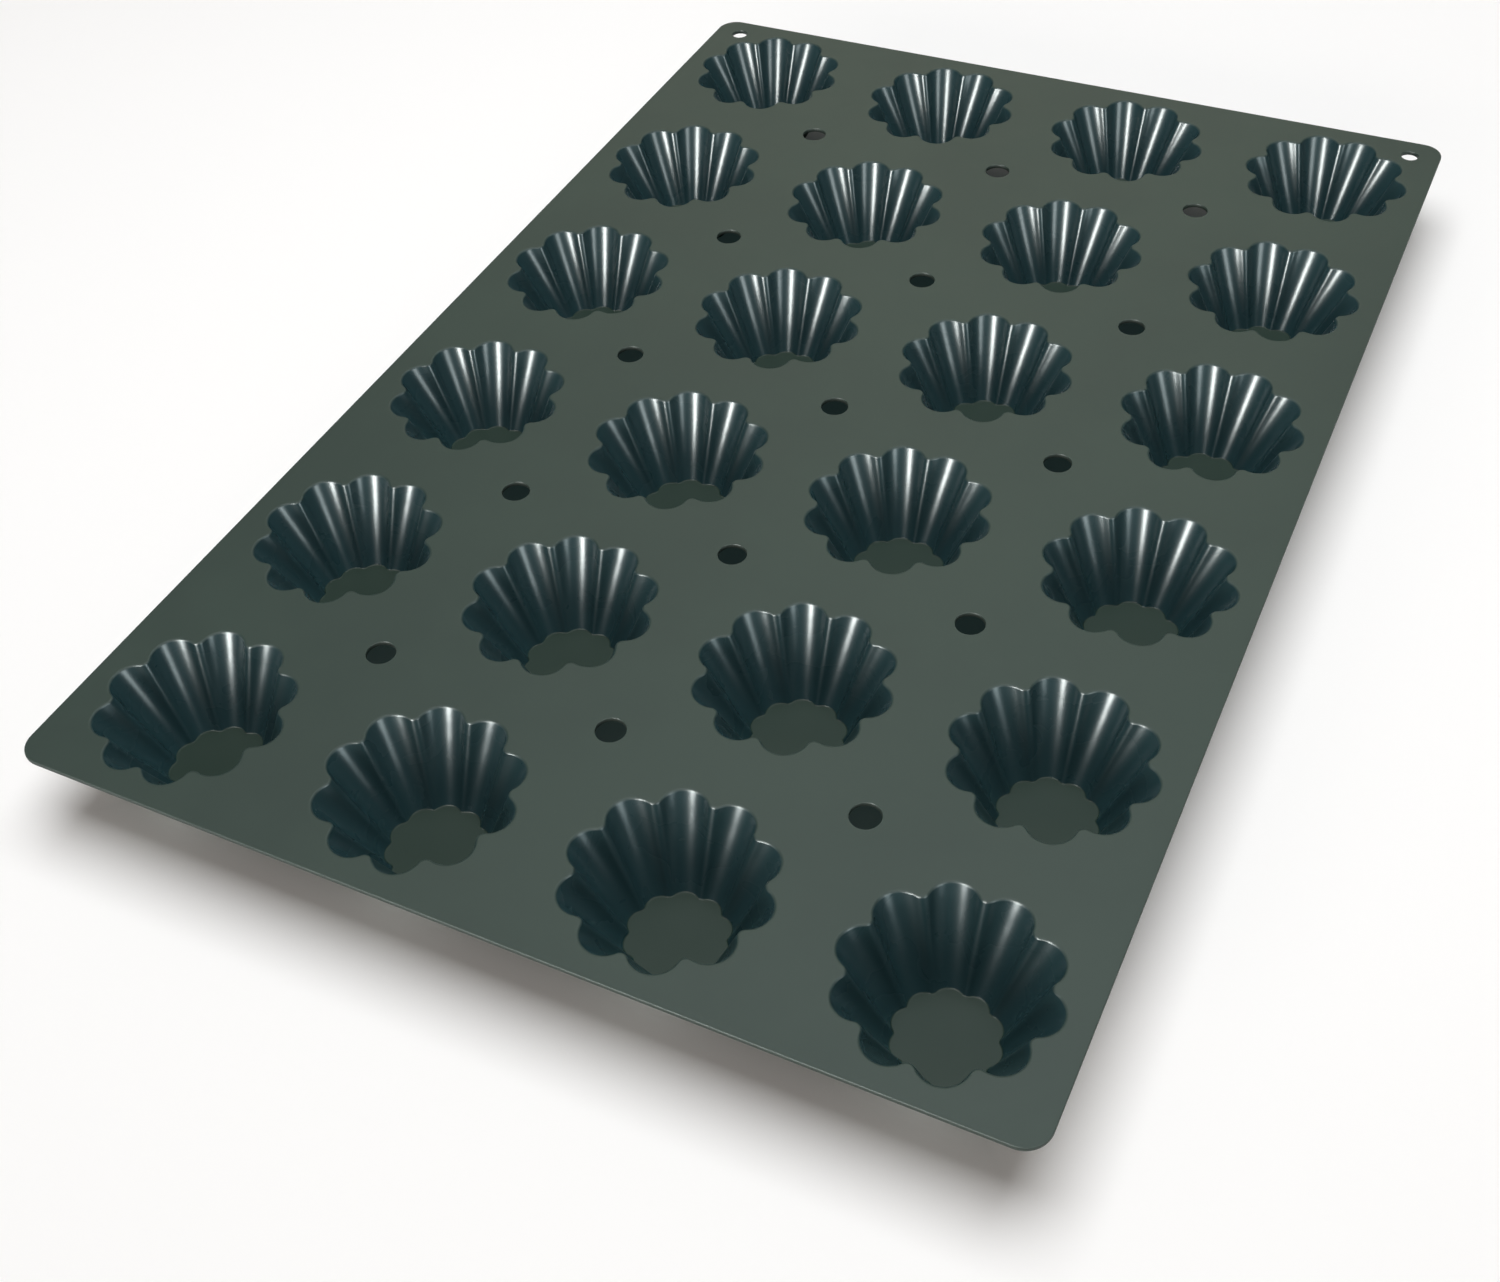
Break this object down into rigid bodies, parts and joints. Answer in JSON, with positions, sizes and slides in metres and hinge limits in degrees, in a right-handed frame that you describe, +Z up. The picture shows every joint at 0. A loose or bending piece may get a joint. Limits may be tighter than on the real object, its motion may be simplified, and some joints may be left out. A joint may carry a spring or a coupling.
{
  "type": "fluted baking mould sheet",
  "caption": "Flexible silicone baking mould: a thin sheet with rows of fluted, tapered cups, round air holes between them and hanging holes in two corners.",
  "frame": {"origin": "centre of the rectangle under the mould, on the plane that the cup floors stand on", "axes": "+Z up, out of the cups' mouths; +Y along the long side, towards the edge with the hanging holes; +X along the short side"},
  "size_m": [0.4, 0.6, 0.037],
  "materials": {
    "sheet": "satin moulded silicone, dark grey-green",
    "cup": "polished moulded silicone, dark grey-green"
  },
  "bodies": {
    "root": {"sheet": "sheet", "cup_row1_col1": "cup", "cup_row1_col2": "cup", "cup_row1_col3": "cup", "cup_row1_col4": "cup", "cup_row2_col1": "cup", "cup_row2_col2": "cup", "cup_row2_col3": "cup", "cup_row2_col4": "cup", "cup_row3_col1": "cup", "cup_row3_col2": "cup", "cup_row3_col3": "cup", "cup_row3_col4": "cup", "cup_row4_col1": "cup", "cup_row4_col2": "cup", "cup_row4_col3": "cup", "cup_row4_col4": "cup", "cup_row5_col1": "cup", "cup_row5_col2": "cup", "cup_row5_col3": "cup", "cup_row5_col4": "cup", "cup_row6_col1": "cup", "cup_row6_col2": "cup", "cup_row6_col3": "cup", "cup_row6_col4": "cup"}
  },
  "joints": []
}
